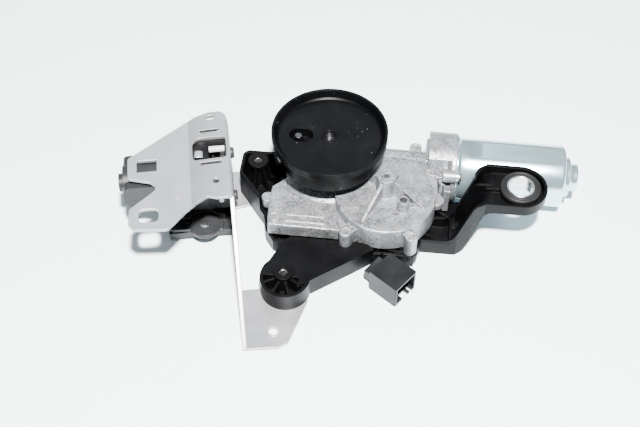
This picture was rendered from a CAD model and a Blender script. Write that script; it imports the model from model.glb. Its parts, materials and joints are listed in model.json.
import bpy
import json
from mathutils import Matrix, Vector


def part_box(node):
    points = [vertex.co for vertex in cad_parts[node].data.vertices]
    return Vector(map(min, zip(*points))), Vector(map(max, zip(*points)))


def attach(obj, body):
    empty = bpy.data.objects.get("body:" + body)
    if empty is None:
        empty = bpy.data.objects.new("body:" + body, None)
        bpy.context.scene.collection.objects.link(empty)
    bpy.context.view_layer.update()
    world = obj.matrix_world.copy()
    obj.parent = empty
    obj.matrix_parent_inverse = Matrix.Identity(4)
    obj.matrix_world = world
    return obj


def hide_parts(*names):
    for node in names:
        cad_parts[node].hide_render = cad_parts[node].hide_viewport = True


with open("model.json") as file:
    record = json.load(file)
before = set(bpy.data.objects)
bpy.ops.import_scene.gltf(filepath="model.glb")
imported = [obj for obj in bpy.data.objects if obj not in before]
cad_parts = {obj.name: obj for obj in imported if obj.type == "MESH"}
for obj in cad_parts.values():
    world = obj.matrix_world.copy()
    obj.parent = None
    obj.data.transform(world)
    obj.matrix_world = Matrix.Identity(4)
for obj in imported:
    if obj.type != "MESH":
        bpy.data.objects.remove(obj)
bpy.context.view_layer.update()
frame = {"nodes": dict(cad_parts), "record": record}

import json
import math
import bmesh
import bpy
import numpy as np

mm = 0.001
baseLevel = -63.0
ct, st = math.cos(math.radians(12.5)), math.sin(math.radians(12.5))
scene = bpy.context.scene


# Node helpers shared by all materials
def link(tree, a, b):
    tree.links.new(a, b)


def node(tree, kind, **values):
    n = tree.nodes.new(kind)
    for key, value in values.items():
        setattr(n, key, value)
    return n


def noise(tree, vector, scale, detail=4.0, rough=0.55):
    n = node(tree, "ShaderNodeTexNoise")
    n.inputs["Scale"].default_value = scale
    n.inputs["Detail"].default_value = detail
    n.inputs["Roughness"].default_value = rough
    link(tree, vector, n.inputs["Vector"])
    return n.outputs["Fac"]


def spread(tree, value, low, high, outLow, outHigh):
    n = node(tree, "ShaderNodeMapRange")
    link(tree, value, n.inputs["Value"])
    for key, v in (("From Min", low), ("From Max", high), ("To Min", outLow), ("To Max", outHigh)):
        n.inputs[key].default_value = v
    return n.outputs["Result"]


def mixColour(tree, factor, a, b):
    n = node(tree, "ShaderNodeMix", data_type="RGBA")
    link(tree, factor, n.inputs[0])
    for socket, value in ((n.inputs[6], a), (n.inputs[7], b)):
        if isinstance(value, tuple):
            socket.default_value = (*value, 1.0)
        else:
            link(tree, value, socket)
    return n.outputs[2]


def calculate(tree, operation, a, b):
    n = node(tree, "ShaderNodeMath", operation=operation)
    for socket, value in ((n.inputs[0], a), (n.inputs[1], b)):
        if isinstance(value, (int, float)):
            socket.default_value = value
        else:
            link(tree, value, socket)
    return n.outputs[0]


def multiply(tree, a, b):
    return calculate(tree, "MULTIPLY", a, b)


def add(tree, a, b):
    return calculate(tree, "ADD", a, b)


# Effects: noise sizes in repeats per metre; a range is (low, high) and what it becomes (low, high)
dustForm = {
    "speckSize": 2600.0, "filmSize": 55.0, "specks": (0.66, 0.74, 0.0, 1.0),
    "areas": (0.45, 0.7, 0.05, 1.0), "film": (0.45, 0.85, 0.0, 0.05),
}
crumbForm = {"size": 640.0, "from": 0.785, "to": 0.805, "colour": (0.30, 0.30, 0.30)}
pitForm = {
    "areaSize": 42.0, "areas": (0.42, 0.60, 0.25, 1.0), "mottleSize": 0.7,
    "mottle": (0.47, 0.60, 0.0, 0.75), "shade": 0.30, "holes": (0.30, 0.42, 0.0, 1.0),
}
wornForm = (0.97, 0.80, 0.0, 0.8)
bevelSamples = 6
creaseForm = {
    "onTop": (-0.0045, -0.0035, 0.0, 1.0), "blend": 0.0008, "fadeStart": 0.002,
    "fade": (1.0, 0.2), "colour": (0.03, 0.03, 0.033),
}


# Dust: fine specks, gathered in areas, over a thin film
def dusted(tree, coords, colour, dust, dustColour):
    f = dustForm
    specks = noise(tree, coords, f["speckSize"], 2.0, 0.7)
    film = noise(tree, coords, f["filmSize"], 6.0, 0.65)
    amount = multiply(tree, spread(tree, specks, *f["specks"]), spread(tree, film, *f["areas"]))
    amount = multiply(tree, add(tree, amount, spread(tree, film, *f["film"])), dust)
    return mixColour(tree, amount, colour, dustColour)


# Crumbs: a few larger light grains
def crumbed(tree, coords, colour, crumbs):
    f = crumbForm
    grit = noise(tree, coords, f["size"], 1.0, 0.5)
    amount = spread(tree, grit, f["from"], f["to"], 0.0, crumbs)
    return mixColour(tree, amount, colour, f["colour"])


# Cast skin: dark mottling, gathered in areas
def mottled(tree, coords, colour, dark, pitScale):
    f = pitForm
    areas = spread(tree, noise(tree, coords, f["areaSize"], 2.0), *f["areas"])
    mottle = noise(tree, coords, pitScale * f["mottleSize"], 3.0, 0.65)
    mottle = spread(tree, mottle, *f["mottle"])
    shade = tuple(f["shade"] * c for c in dark)
    return mixColour(tree, multiply(tree, areas, mottle), colour, shade)


# Pressed bend: a dark line where x cos a + y sin a = place, and a shade darker beyond it
def creased(tree, coords, colour, crease):
    f, start = creaseForm, crease["from"]
    n = node(tree, "ShaderNodeVectorMath", operation="DOT_PRODUCT")
    link(tree, coords, n.inputs[0])
    n.inputs[1].default_value = (ct, st, 0.0)
    place = n.outputs["Value"]
    split = node(tree, "ShaderNodeSeparateXYZ")
    link(tree, coords, split.inputs[0])
    onTop = spread(tree, split.outputs["Z"], *f["onTop"])
    line = node(tree, "ShaderNodeMath", operation="ABSOLUTE")
    link(tree, add(tree, place, crease["offset"]), line.inputs[0])
    line = spread(tree, line.outputs[0], 0.0, crease["width"], crease["line"], 0.0)
    beyond = spread(tree, place, start, start + f["blend"], 0.0, crease["beyond"])
    fade = spread(tree, place, start + f["fadeStart"], crease["to"], *f["fade"])
    amount = multiply(tree, onTop, add(tree, line, multiply(tree, beyond, fade)))
    return mixColour(tree, amount, colour, f["colour"])


# Worn edges: the paler metal shows where the rounded normal turns away from the face's own
def wornEdges(tree, rounded, colour, worn):
    flat = node(tree, "ShaderNodeNewGeometry").outputs["Normal"]
    turn = node(tree, "ShaderNodeVectorMath", operation="DOT_PRODUCT")
    link(tree, rounded, turn.inputs[0])
    link(tree, flat, turn.inputs[1])
    amount = spread(tree, turn.outputs["Value"], *wornForm)
    return mixColour(tree, amount, colour, worn)


# One surface: a colour that varies on two scales, its effects, rounded edges, and relief from noise
def surface(name, dark, light, rough, metallic=0.0, patch=90.0, grain=1400.0, relief=0.00004,
            stretch=(1, 1, 1), edge=0.0004, dust=0.0, dustColour=(0.55, 0.54, 0.52),
            roughSpread=0.08, specular=0.5, pits=0.0, pitScale=900.0, worn=None,
            crumbs=0.0, crease=None):
    m = bpy.data.materials.new(name)
    m.use_nodes = True
    tree = m.node_tree
    shader = tree.nodes["Principled BSDF"]
    coords = node(tree, "ShaderNodeTexCoord").outputs["Object"]
    mapped = node(tree, "ShaderNodeMapping")
    mapped.inputs["Scale"].default_value = stretch
    link(tree, coords, mapped.inputs["Vector"])
    wide = noise(tree, mapped.outputs["Vector"], patch, 5.0)
    fine = noise(tree, mapped.outputs["Vector"], grain, 3.0, 0.6)
    colour = mixColour(tree, spread(tree, wide, 0.3, 0.7, 0.0, 1.0), dark, light)
    colour = mixColour(tree, spread(tree, fine, 0.35, 0.75, 0.0, 0.35), colour, light)
    if dust:
        colour = dusted(tree, coords, colour, dust, dustColour)
    if crumbs:
        colour = crumbed(tree, coords, colour, crumbs)
    if pits:
        colour = mottled(tree, coords, colour, dark, pitScale)
    if crease:
        colour = creased(tree, coords, colour, crease)
    rounded = node(tree, "ShaderNodeBevel", samples=bevelSamples)
    rounded.inputs["Radius"].default_value = edge
    if worn:
        colour = wornEdges(tree, rounded.outputs["Normal"], colour, worn)
    link(tree, colour, shader.inputs["Base Color"])
    gloss = spread(tree, wide, 0.25, 0.75, rough - roughSpread, rough + roughSpread)
    link(tree, gloss, shader.inputs["Roughness"])
    shader.inputs["Metallic"].default_value = metallic
    shader.inputs["Specular IOR Level"].default_value = specular
    height = fine
    if pits:
        holes = spread(tree, noise(tree, coords, pitScale, 2.0, 0.5), *pitForm["holes"])
        height = add(tree, fine, multiply(tree, holes, pits))
    bump = node(tree, "ShaderNodeBump")
    bump.inputs["Strength"].default_value = 1.0
    bump.inputs["Distance"].default_value = relief
    link(tree, height, bump.inputs["Height"])
    link(tree, rounded.outputs["Normal"], bump.inputs["Normal"])
    link(tree, bump.outputs["Normal"], shader.inputs["Normal"])
    return m


# Finishes: two shades, gloss, sizes of the pattern in repeats per metre, relief and edges in metres
finishes = {
    "castAluminium": {
        "dark": (0.16, 0.165, 0.175), "light": (0.33, 0.34, 0.355), "rough": 0.42, "metallic": 0.7,
        "patch": 130, "grain": 1100, "relief": 0.00014, "edge": 0.0006, "pits": 2.0,
        "pitScale": 700, "worn": (0.62, 0.63, 0.65),
    },
    "zincCan": {
        "dark": (0.46, 0.61, 0.67), "light": (0.62, 0.79, 0.85), "rough": 0.22, "metallic": 0.9,
        "patch": 60, "grain": 1800, "relief": 0.00001, "stretch": (0.25, 1, 1), "edge": 0.0003,
        "roughSpread": 0.04,
    },
    "blackPlastic": {
        "dark": (0.0007, 0.0007, 0.0009), "light": (0.0015, 0.0016, 0.0019), "rough": 0.42,
        "patch": 70, "grain": 1500, "relief": 0.00004, "edge": 0.0005, "dust": 0.20,
        "dustColour": (0.14, 0.14, 0.14), "specular": 0.09,
    },
    "cupPlastic": {
        "dark": (0.0007, 0.0008, 0.0010), "light": (0.0013, 0.0014, 0.0017), "rough": 0.36,
        "patch": 50, "grain": 1900, "relief": 0.000012, "edge": 0.0004, "dust": 0.24,
        "dustColour": (0.15, 0.15, 0.15), "specular": 0.08, "crumbs": 0.9,
    },
    "darkPlastic": {
        "dark": (0.0075, 0.0078, 0.0086), "light": (0.0145, 0.0150, 0.0160), "rough": 0.44,
        "patch": 80, "grain": 1500, "relief": 0.00004, "edge": 0.0005, "dust": 0.25,
        "dustColour": (0.2, 0.2, 0.2), "specular": 0.3,
    },
    "socketPlastic": {
        "dark": (0.0028, 0.0030, 0.0036), "light": (0.0060, 0.0063, 0.0072), "rough": 0.42,
        "patch": 80, "grain": 1500, "relief": 0.00004, "edge": 0.0005, "dust": 0.2,
        "dustColour": (0.2, 0.2, 0.2), "specular": 0.2,
    },
    "bracketSteel": {
        "dark": (0.26, 0.265, 0.28), "light": (0.32, 0.325, 0.34), "rough": 0.36, "metallic": 0.6,
        "patch": 45, "grain": 1600, "relief": 0.000015, "edge": 0.0005, "dust": 0.06,
        "dustColour": (0.2, 0.2, 0.2), "worn": (0.75, 0.76, 0.78),
        "crease": {"offset": 0.0986, "width": 0.0007, "line": 0.45, "from": -0.0986, "to": -0.072,
                   "beyond": 0.30},
    },
    "brightSteel": {
        "dark": (0.50, 0.50, 0.51), "light": (0.68, 0.68, 0.69), "rough": 0.26, "metallic": 1.0,
        "patch": 150, "grain": 2500, "relief": 0.00002, "edge": 0.0003,
    },
    "screwSteel": {
        "dark": (0.42, 0.42, 0.42), "light": (0.58, 0.58, 0.57), "rough": 0.35, "metallic": 1.0,
        "patch": 200, "grain": 2200, "relief": 0.00003, "edge": 0.0003,
    },
    "oiledSteel": {
        "dark": (0.05, 0.05, 0.052), "light": (0.11, 0.11, 0.115), "rough": 0.3, "metallic": 1.0,
        "patch": 200, "grain": 2400, "relief": 0.00002, "edge": 0.0003,
    },
    "blackSteel": {
        "dark": (0.012, 0.012, 0.013), "light": (0.022, 0.022, 0.024), "rough": 0.42, "patch": 180,
        "grain": 2200, "relief": 0.00003, "edge": 0.0003, "specular": 0.3,
    },
    "whiteGear": {
        "dark": (0.66, 0.64, 0.58), "light": (0.78, 0.76, 0.70), "rough": 0.42, "patch": 90,
        "grain": 1500, "relief": 0.00002, "edge": 0.0002,
    },
    "bronzeBush": {
        "dark": (0.34, 0.22, 0.11), "light": (0.48, 0.33, 0.17), "rough": 0.40, "metallic": 0.9,
        "patch": 200, "grain": 2600, "relief": 0.00004, "edge": 0.0002,
    },
    "copperWire": {
        "dark": (0.42, 0.15, 0.06), "light": (0.58, 0.24, 0.09), "rough": 0.30, "metallic": 0.8,
        "patch": 300, "grain": 2600, "relief": 0.00006, "edge": 0.0002,
    },
    "coreSteel": {
        "dark": (0.16, 0.16, 0.17), "light": (0.26, 0.26, 0.27), "rough": 0.45, "metallic": 0.9,
        "patch": 200, "grain": 2400, "relief": 0.00004, "stretch": (6, 1, 1), "edge": 0.0002,
    },
    "ferrite": {
        "dark": (0.035, 0.035, 0.038), "light": (0.06, 0.06, 0.065), "rough": 0.55, "patch": 150,
        "grain": 2000, "relief": 0.00005, "edge": 0.0003,
    },
    "carbon": {
        "dark": (0.02, 0.02, 0.02), "light": (0.045, 0.045, 0.045), "rough": 0.5, "patch": 300,
        "grain": 2600, "relief": 0.00005, "edge": 0.0002,
    },
    "grommetRubber": {
        "dark": (0.0035, 0.0037, 0.0040), "light": (0.0075, 0.0078, 0.0082), "rough": 0.55,
        "patch": 90, "grain": 1500, "relief": 0.00005, "edge": 0.0005, "dust": 0.10,
        "specular": 0.2,
    },
    "sealRubber": {
        "dark": (0.012, 0.012, 0.012), "light": (0.03, 0.03, 0.03), "rough": 0.6, "patch": 150,
        "grain": 2000, "relief": 0.00003, "edge": 0.0003,
    },
    "boardLaminate": {
        "dark": (0.012, 0.07, 0.03), "light": (0.02, 0.11, 0.05), "rough": 0.35, "patch": 300,
        "grain": 2200, "relief": 0.00003, "edge": 0.0002,
    },
    "bufferRubber": {
        "dark": (0.42, 0.42, 0.41), "light": (0.55, 0.55, 0.53), "rough": 0.5, "patch": 150,
        "grain": 1800, "relief": 0.00003, "edge": 0.0004,
    },
    "springSteel": {
        "dark": (0.36, 0.36, 0.37), "light": (0.5, 0.5, 0.51), "rough": 0.32, "metallic": 1.0,
        "patch": 250, "grain": 2600, "relief": 0.00002, "edge": 0.0001,
    },
}
mats = {name: surface(name, **finish) for name, finish in finishes.items()}
slotToMaterial = {
    "zinc_can": "zincCan", "cast_aluminium": "castAluminium", "black_plastic": "blackPlastic",
    "cup_plastic": "cupPlastic", "dark_plastic": "darkPlastic", "bracket_steel": "bracketSteel",
    "bright_steel": "brightSteel", "screw_steel": "screwSteel", "white_gear": "whiteGear",
    "bronze_bush": "bronzeBush", "copper_wire": "copperWire", "core_steel": "coreSteel",
    "ferrite": "ferrite", "carbon": "carbon", "grommet_rubber": "grommetRubber",
    "seal_rubber": "sealRubber", "board_laminate": "boardLaminate",
    "buffer_rubber": "bufferRubber", "spring_steel": "springSteel",
}
ownFinish = {
    "cup_hub": "oiledSteel", "drive_insert": "oiledSteel", "connector_housing": "socketPlastic",
}
for part in frame["record"]["subparts"]:
    finish = ownFinish.get(part["node"], slotToMaterial[part["material_slot"]])
    for s in frame["nodes"][part["node"]].material_slots:
        s.material = mats[finish]
print("materials done")


# A grid of points becomes a closed mesh: rows run along the shape, columns run round it
def gridPiece(name, points, material, body, replaced=(), wrapRows=False):
    rows, columns = points.shape[:2]
    index = np.arange(rows * columns).reshape(rows, columns)
    if wrapRows:
        index = np.vstack([index, index[:1]])
    index = np.hstack([index, index[:, :1]])
    quads = np.stack([index[:-1, :-1], index[1:, :-1], index[1:, 1:], index[:-1, 1:]], -1)
    quads = quads.reshape(-1, 4)
    mesh = bpy.data.meshes.new(name)
    mesh.from_pydata((points.reshape(-1, 3) * mm).tolist(), [], quads.tolist())
    work = bmesh.new()
    work.from_mesh(mesh)
    bmesh.ops.remove_doubles(work, verts=work.verts, dist=1e-7)
    bmesh.ops.dissolve_degenerate(work, edges=work.edges, dist=1e-8)
    bmesh.ops.recalc_face_normals(work, faces=work.faces)
    work.to_mesh(mesh)
    work.free()
    mesh.shade_smooth()
    mesh.materials.append(mats[material])
    piece = bpy.data.objects.new(name, mesh)
    scene.collection.objects.link(piece)
    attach(piece, body)
    if replaced:
        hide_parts(*replaced)
    return piece


# Corners of a closed profile become short curves: (1-t)^2 a + 2 t (1-t) corner + t^2 b
def softened(profile, radius, steps=5):
    turns = np.asarray(profile, float)
    before = np.roll(turns, 1, 0) - turns
    after = np.roll(turns, -1, 0) - turns
    far = np.linalg.norm(before, axis=1, keepdims=True) + 1e-9
    near = np.linalg.norm(after, axis=1, keepdims=True) + 1e-9
    a = turns + before / far * np.minimum(radius, far * 0.45)
    b = turns + after / near * np.minimum(radius, near * 0.45)
    t = np.linspace(0, 1, steps)[None, :, None]
    curve = (1 - t) ** 2 * a[:, None] + 2 * t * (1 - t) * turns[:, None] + t ** 2 * b[:, None]
    return curve.reshape(-1, 2)


# Two directions square to an axis, so that side x up = axis
def across(axis):
    axis = np.asarray(axis, float)
    axis = axis / np.linalg.norm(axis)
    side = np.cross(axis, (0, 0, 1.0) if abs(axis[2]) < 0.9 else (1.0, 0, 0))
    side = side / np.linalg.norm(side)
    return axis, side, np.cross(axis, side)


# A profile of (along, radius) turned about an axis: base + along axis + r (cos u side + sin u up)
def turned(profile, base, axis, columns=72, reshape=None):
    profile = np.asarray(profile, float)
    axis, side, up = across(axis)
    u = np.linspace(0, 2 * np.pi, columns, endpoint=False)[None, :]
    along = np.repeat(profile[:, :1], columns, 1)
    radius = np.repeat(profile[:, 1:2], columns, 1)
    if reshape:
        along, radius = reshape(along, radius, u)
    ring = np.cos(u)[..., None] * side + np.sin(u)[..., None] * up
    return np.asarray(base, float) + along[..., None] * axis + radius[..., None] * ring


# A round wire along a path: path + r (cos v normal + sin v other), square to the path's slope
def wire(path, radius, sides, lean):
    path = np.asarray(path, float)
    slope = np.gradient(path, axis=0)
    slope /= np.linalg.norm(slope, axis=1, keepdims=True)
    normal = np.cross(slope, np.asarray(lean, float))
    normal /= np.linalg.norm(normal, axis=1, keepdims=True)
    other = np.cross(slope, normal)
    v = np.linspace(0, 2 * np.pi, sides, endpoint=False)[None, :, None]
    tube = path[:, None] + radius * (np.cos(v) * normal[:, None] + np.sin(v) * other[:, None])
    ends = [np.repeat(path[k][None, None], sides, 1) for k in (0, -1)]
    return np.vstack([ends[0], tube, ends[1]])


# Low corner, high corner and middle of a node's box, in millimetres
def boxOf(name):
    low, high = (np.array(c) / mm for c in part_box(name))
    return low, high, (low + high) / 2


# Arm grommet: a ring turned from a profile with two lips, a waist and a groove in its top face
grommet = {
    "bore": 9.72, "waist": 11.75, "lip": 14.2, "lowLip": 13.0, "lipHeight": 3.2, "footHeight": 2.4,
    "groove": 0.5, "grooveOutside": 12.4, "grooveInside": 11.2, "soft": 0.6, "columns": 96,
}


def armGrommet():
    low, high, middle = boxOf("arm_grommet")
    g, z0, z1 = grommet, low[2], high[2]
    ring = [(z0, g["bore"]), (z0, g["lowLip"] - 0.5), (z0 + g["footHeight"], g["lowLip"]),
            (z0 + g["footHeight"], g["waist"]), (z1 - g["lipHeight"], g["waist"]),
            (z1 - g["lipHeight"], g["lip"]), (z1 - 1.0, g["lip"]), (z1, g["lip"] - 1.0),
            (z1, g["grooveOutside"]), (z1 - g["groove"], g["grooveOutside"] - 0.3),
            (z1 - g["groove"], g["grooveInside"] + 0.3), (z1, g["grooveInside"]), (z1, g["bore"])]
    points = turned(softened(ring, g["soft"]), (middle[0], middle[1], 0), (0, 0, 1), g["columns"])
    gridPiece("armGrommetRing", points, "grommetRubber", "frame",
              ["arm_grommet"], wrapRows=True)


# Arm sleeve: a plain tube turned from a rectangle with softened corners
sleeve = {"bore": 8.5, "outside": 9.68, "soft": 0.45, "columns": 96}


def armSleeve():
    low, high, middle = boxOf("arm_sleeve")
    v, z0, z1 = sleeve, low[2], high[2]
    tube = [(z0, v["bore"]), (z0, v["outside"]), (z1, v["outside"]), (z1, v["bore"])]
    points = turned(softened(tube, v["soft"]), (middle[0], middle[1], 0), (0, 0, 1), v["columns"])
    gridPiece("armSleeveTube", points, "brightSteel", "frame", ["arm_sleeve"],
              wrapRows=True)


# Screws: a turned shank whose radius is r - depth |2 frac(h / pitch - u) - 1|, and a head with a
# six-lobed recess, r (1 + lobe cos 6u)
screws = {
    "can": {"node": "can_screws", "radius": 1.86, "head": 3.6, "headHeight": 2.2, "length": 10.8,
            "pitch": 0.8, "material": "screwSteel"},
    "housing": {"node": "housing_screws", "radius": 2.16, "head": 4.0, "headHeight": 2.4,
                "length": 16.5, "pitch": 1.0, "material": "screwSteel"},
    "latch": {"node": "latch_screws", "radius": 2.1, "head": 4.2, "headHeight": 2.6, "length": 7.0,
              "pitch": 1.0, "material": "blackSteel"},
}
screwForm = {"recess": 0.42, "recessDepth": 0.55, "threadDepth": 0.3, "lobe": 0.13, "lobes": 6,
             "rowsPerTurn": 6, "columns": 36}
motorAxis = {"y": 14.0, "z": 24.5}
canScrews = {"face": 92.8, "reach": 26.7, "angles": (145, 325)}
wallFace = -70.5  # the bracket's upright wall, along the bracket's own length
wallScrews = ((-11, 20), (9, 44))
screwPlaces = {
    "can": {"axis": (-1, 0, 0), "at": [
        (canScrews["face"], motorAxis["y"] + canScrews["reach"] * math.cos(math.radians(a)),
         motorAxis["z"] + canScrews["reach"] * math.sin(math.radians(a)))
        for a in canScrews["angles"]]},
    "housing": {"axis": (0, 0, 1), "at": [
        (17.3, -57.6, 6.5), (63.0, -57.0, 6.5), (-34.4, -47.0, 6.5), (61.5, 29.5, 6.5),
        (-20.0, 28.5, 6.5)]},
    "latch": {"axis": (-ct, -st, 0), "at": [
        (ct * wallFace - st * m, st * wallFace + ct * m, z) for m, z in wallScrews]},
}


def screwPoints(s, base, axis):
    r, head, top, length = s["radius"], s["head"], s["headHeight"], s["length"]
    f = screwForm
    recess, depth = head * f["recess"], top * f["recessDepth"]
    crown = [(-top + depth, 0), (-top + depth, recess * 0.5), (-top + depth, recess - 0.02),
             (-top + 0.04, recess), (-top, recess + 0.1), (-top, head * 0.72),
             (-top * 0.88, head * 0.86), (-top * 0.6, head * 0.97), (-top * 0.3, head),
             (-0.12, head), (0, head - 0.12), (0, r + 0.05)]
    rows = np.arange(0.4, length - 1.0, s["pitch"] / f["rowsPerTurn"])
    shank = np.stack([rows, np.full(len(rows), r)], 1)
    tip = [(length - 0.9, r * 0.9), (length - 0.3, r * 0.72), (length, r * 0.55), (length, 0)]

    def thread(along, radius, u):
        wave = np.abs(2 * np.mod(along / s["pitch"] - u / (2 * np.pi), 1.0) - 1)
        inside = (along > 1.0) & (along < length - 0.95)
        radius = np.where(inside, radius - f["threadDepth"] * s["pitch"] * wave, radius)
        lobed = (along < -0.1) & (radius < recess + 0.05) & (radius > 0)
        return along, np.where(lobed, radius * (1 + f["lobe"] * np.cos(f["lobes"] * u)), radius)

    return turned(np.vstack([crown, shank, tip]), base, axis, f["columns"], thread)


def allScrews():
    for kind, s in screws.items():
        place = screwPlaces[kind]
        for n, at in enumerate(place["at"]):
            base = np.array(at) + (0, 0, baseLevel)
            gridPiece(f"{kind}Screw{n}", screwPoints(s, base, place["axis"]), s["material"],
                      "frame", [s["node"]])


# Springs: a wire on a helix, centre + R (cos a side + sin a up) + rise axis, closed at both ends
springs = {
    "fork": {"node": "fork_spring", "radius": 2.70, "wire": 0.5, "length": 3.9, "turns": 4.5},
    "pawl": {"node": "pawl_spring", "radius": 2.65, "wire": 0.45, "length": 3.9, "turns": 4.5},
}
springForm = {"axis": (-st, ct, 0), "stepsPerTurn": 28, "closed": 0.12, "sides": 8}


def helix(centre, axis, radius, length, turns):
    axis, side, up = across(axis)
    closed = springForm["closed"]
    t = np.linspace(0, 1, int(turns * springForm["stepsPerTurn"]))
    angle = 2 * np.pi * turns * t
    rise = np.clip((t - closed) / (1 - 2 * closed), 0, 1) * length - length / 2
    return (np.asarray(centre) + rise[:, None] * axis
            + radius * (np.cos(angle)[:, None] * side + np.sin(angle)[:, None] * up))


def allSprings():
    for kind, s in springs.items():
        middle = boxOf(s["node"])[2]
        axis = springForm["axis"]
        path = helix(middle, axis, s["radius"], s["length"], s["turns"])
        coil = wire(path, s["wire"], springForm["sides"], axis)
        gridPiece(f"{kind}Coil", coil, "springSteel", "frame", [s["node"]])


# Motor can: a drawn shell turned from one profile, outside and inside; its radius is held to
# flat / |sin u|, which gives the two flats above and below
can = {
    "start": 91.0, "end": 169.0, "radius": 22.5, "wall": 1.6, "flange": 24.3, "flangeThick": 1.8,
    "flat": 21.1, "flatStart": 99.0, "stepRadius": 14.5, "stepEnd": 173.5, "cupRadius": 10.0,
    "cupEnd": 179.5, "shoulder": 2.6, "columns": 180,
}
canEar = {"hole": 1.95, "outside": 4.4, "thick": 1.8, "soft": 0.35, "columns": 48}


def motorCan():
    c = can
    w = c["wall"]
    bend = np.linspace(0, np.pi / 2, 7)[:, None]

    # a quarter round from the face to the side
    def curve(x, r, size):
        return np.hstack([x - size * (1 - np.cos(bend)), r - size * (1 - np.sin(bend))])

    outside = np.vstack([
        [(c["cupEnd"], 0), (c["cupEnd"], 3.0), (c["cupEnd"] - 0.5, 3.6), (c["cupEnd"] - 0.5, 6.4),
         (c["cupEnd"], 7.0)],
        curve(c["cupEnd"], c["cupRadius"], 1.6)[1:], [(c["stepEnd"] + 0.8, c["cupRadius"])],
        [(c["stepEnd"] + 0.1, c["cupRadius"] + 0.5), (c["stepEnd"], c["cupRadius"] + 1.2)],
        curve(c["stepEnd"], c["stepRadius"], 1.4), [(c["end"] + 0.8, c["stepRadius"])],
        [(c["end"] + 0.1, c["stepRadius"] + 0.6), (c["end"], c["stepRadius"] + 1.4)],
        curve(c["end"], c["radius"], c["shoulder"]),
        [(150, c["radius"]), (130, c["radius"]), (110, c["radius"])],
        [(c["flatStart"] + 1.5, c["radius"]), (c["flatStart"], c["radius"]), (94.6, c["radius"])],
        [(93.2, c["radius"] + 0.3), (92.85, c["radius"] + 0.8),
         (c["start"] + c["flangeThick"], c["flange"] - 0.4)],
        [(c["start"] + c["flangeThick"] - 0.3, c["flange"]), (c["start"], c["flange"])]])
    inside = [(c["start"], c["radius"] - w), (c["flatStart"], c["radius"] - w),
              (c["flatStart"] + 1.5, c["radius"] - w), (c["end"] - w - 1, c["radius"] - w),
              (c["end"] - w, c["radius"] - w - 1), (c["end"] - w, c["stepRadius"] - w),
              (c["stepEnd"] - w, c["stepRadius"] - w), (c["stepEnd"] - w, c["cupRadius"] - w),
              (c["cupEnd"] - w, c["cupRadius"] - w), (c["cupEnd"] - w, 0)]
    border = len(outside)

    def flats(along, radius, u):
        reach = np.full_like(radius, c["flat"])
        reach[border:] -= w
        limit = reach / np.maximum(np.abs(np.sin(u)), 0.2)
        pressed = (along > c["flatStart"] + 0.1) & (along <= c["end"])
        return along, np.where(pressed, np.minimum(radius, limit), radius)

    base = (0, motorAxis["y"], motorAxis["z"] + baseLevel)
    points = turned(np.vstack([outside, inside]), base, (1, 0, 0), c["columns"], flats)
    gridPiece("motorCanShell", points, "zincCan", "frame", ["motor_can"])
    e = canEar
    ring = softened([(-e["thick"], e["hole"]), (-e["thick"], e["outside"]), (0, e["outside"]),
                     (0, e["hole"])], e["soft"])
    for n, at in enumerate(screwPlaces["can"]["at"]):
        points = turned(ring, (at[0], at[1], at[2] + baseLevel), (1, 0, 0), e["columns"])
        gridPiece(f"motorCanEar{n}", points, "zincCan", "frame", ["motor_can"],
                  wrapRows=True)


# Web at the arm's root: rings middle + k (rim - middle) at height z, from its underside to its top
web = {
    "rim": [(76.5, -14.8), (88.5, -25.5), (94.0, -28.0), (103.0, -15.0), (101.0, -2.5),
            (78.5, -2.5)],
    "soft": 1.5,
    "rings": [(0, 3.0), (0.96, 3.0), (1, 3.25), (1, 4.95), (0.96, 5.2), (0, 5.2)],
}


def armRootWeb():
    rim = softened(web["rim"], web["soft"])
    middle = rim.mean(0)
    k, z = np.array(web["rings"]).T
    flat = middle + k[:, None, None] * (rim - middle)
    height = np.broadcast_to((z + baseLevel)[:, None, None], flat.shape[:2] + (1,))
    points = np.concatenate([flat, height], 2)
    gridPiece("armRootWeb", points, "blackPlastic", "frame")


armGrommet()
armSleeve()
armRootWeb()
allScrews()
allSprings()
motorCan()
print("turned pieces done")


# Floor: one square at the level that the part stands on
floorSet = {"size": 6.0, "colour": (0.78, 0.85, 0.88, 1), "rough": 0.6, "specular": 0.2}


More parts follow.
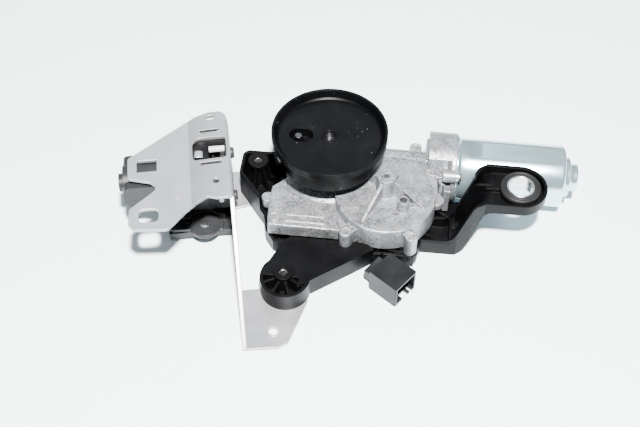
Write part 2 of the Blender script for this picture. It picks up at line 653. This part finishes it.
def makeFloor():
    size = floorSet["size"]
    data = bpy.data.meshes.new("floor")
    data.from_pydata([(-size, -size, 0), (size, -size, 0), (size, size, 0), (-size, size, 0)],
                     [], [(0, 1, 2, 3)])
    floor = bpy.data.objects.new("floor", data)
    scene.collection.objects.link(floor)
    floor.location = (0, 0, baseLevel * mm)
    m = bpy.data.materials.new("floorWhite")
    m.use_nodes = True
    shader = m.node_tree.nodes["Principled BSDF"]
    shader.inputs["Base Color"].default_value = floorSet["colour"]
    shader.inputs["Roughness"].default_value = floorSet["rough"]
    shader.inputs["Specular IOR Level"].default_value = floorSet["specular"]
    data.materials.append(m)


# World: an even pale light
worldSet = {"colour": (0.80, 0.92, 0.96, 1), "strength": 0.36}


def makeWorld():
    world = bpy.data.worlds.new("studio")
    world.use_nodes = True
    background = world.node_tree.nodes["Background"]
    background.inputs["Color"].default_value = worldSet["colour"]
    background.inputs["Strength"].default_value = worldSet["strength"]
    scene.world = world


# Lamps: each stands at one point and is turned to aim at another
lampSet = {
    "key": {"at": (0.11, -0.525, 1.12), "aim": (0, -0.02, -0.02), "size": 0.09, "power": 128.0,
            "colour": (1, 0.985, 0.97)},
    "rear": {"at": (-0.3, 1.3, 1.1), "aim": (0, 0, 0), "size": 1.2, "power": 9.0,
             "colour": (0.86, 0.93, 1.0)},
}


def makeLamps():
    for name, v in lampSet.items():
        data = bpy.data.lights.new(name, "AREA")
        data.shape = "DISK"
        data.size = v["size"]
        data.energy = v["power"]
        data.color = v["colour"]
        lamp = bpy.data.objects.new(name, data)
        scene.collection.objects.link(lamp)
        lamp.location = v["at"]
        away = np.array(v["at"]) - np.array(v["aim"])
        flat = math.hypot(away[0], away[1])
        lamp.rotation_euler = (math.atan2(flat, away[2]), 0, math.atan2(away[0], -away[1]))


# Camera: tilt from straight down, then turn about the upright, in degrees
cameraSet = {"at": (0.05025, -0.5173, 0.577), "tilt": 38.0, "turn": 6.3, "lens": 61.9,
             "sensor": 36.0, "near": 0.01}


def makeCamera():
    v = cameraSet
    camera = bpy.data.objects.new("camera", bpy.data.cameras.new("camera"))
    scene.collection.objects.link(camera)
    camera.data.sensor_width = v["sensor"]
    camera.data.lens = v["lens"]
    camera.data.clip_start = v["near"]
    camera.location = v["at"]
    camera.rotation_euler = (math.radians(v["tilt"]), 0, math.radians(v["turn"]))
    scene.camera = camera


makeFloor()
makeWorld()
makeLamps()
makeCamera()
print("studio done")
